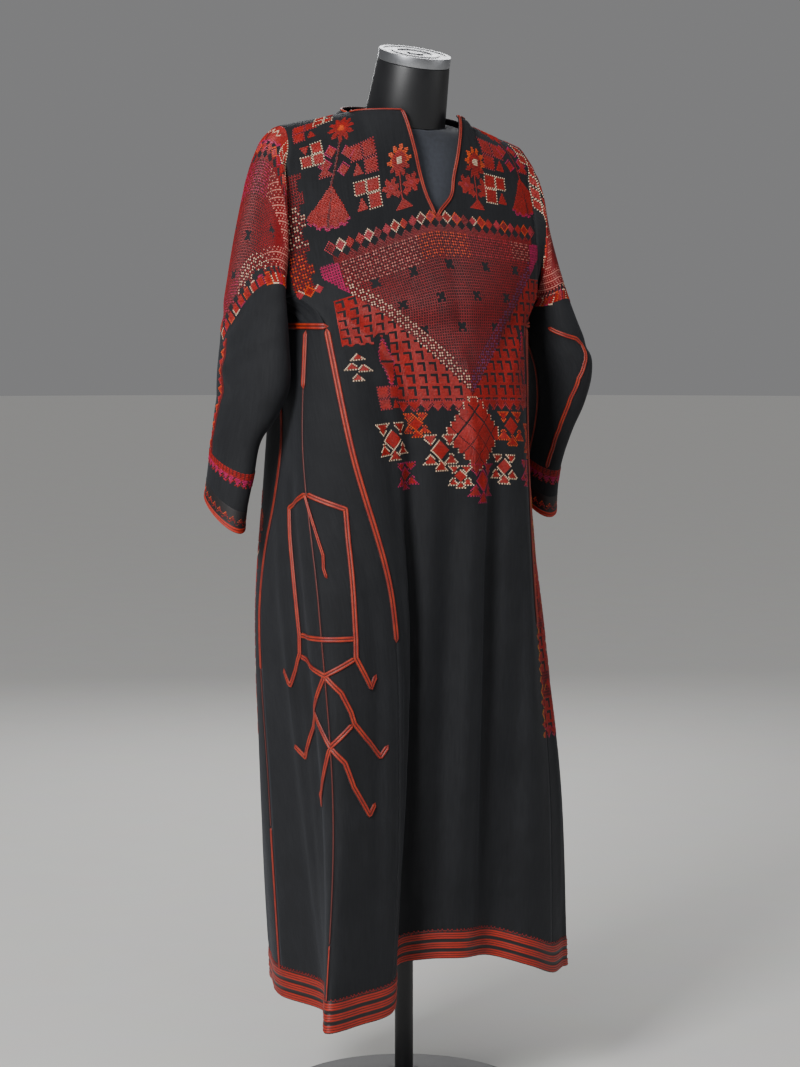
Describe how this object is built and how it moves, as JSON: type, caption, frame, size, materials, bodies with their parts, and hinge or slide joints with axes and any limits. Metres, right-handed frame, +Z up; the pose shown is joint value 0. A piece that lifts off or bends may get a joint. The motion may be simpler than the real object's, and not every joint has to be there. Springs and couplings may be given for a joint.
{
  "type": "tunic on dress form",
  "caption": "Ankle-length black embroidered tunic with wide sleeves, side gores and neck slit, worn by a limbless dress form on a round floor stand.",
  "frame": {"origin": "centre of the stand's underside, on the floor", "axes": "+Z up; the wearer faces -Y, so the wearer's right is -X"},
  "size_m": [0.6405, 0.4072, 1.5971],
  "materials": {
    "black_cotton": "matt, softly sheened plain weave",
    "red_trim": "silk stitched",
    "form_jersey": "matt jersey",
    "black_block": "satin",
    "brushed_cap": "spun and brushed",
    "black_steel": "satin black powder coat"
  },
  "bodies": {
    "root": {"front_panel": "black_cotton", "back_panel": "black_cotton", "front_gore_right": "black_cotton", "back_gore_right": "black_cotton", "back_gore_left": "black_cotton", "front_gore_left": "black_cotton", "gusset_right": "black_cotton", "gusset_left": "black_cotton", "sleeve_right": "black_cotton", "sleeve_left": "black_cotton", "hem_band": "red_trim", "cuff_band_right": "red_trim", "cuff_band_left": "red_trim", "slit_binding_right": "red_trim", "slit_binding_left": "red_trim", "neck_binding_front_right": "red_trim", "neck_binding_front_left": "red_trim", "neck_binding_back": "red_trim", "form_torso": "form_jersey", "form_neck_block": "black_block", "form_neck_cap": "brushed_cap", "stand_pole": "black_steel", "stand_base": "black_steel"}
  },
  "joints": []
}
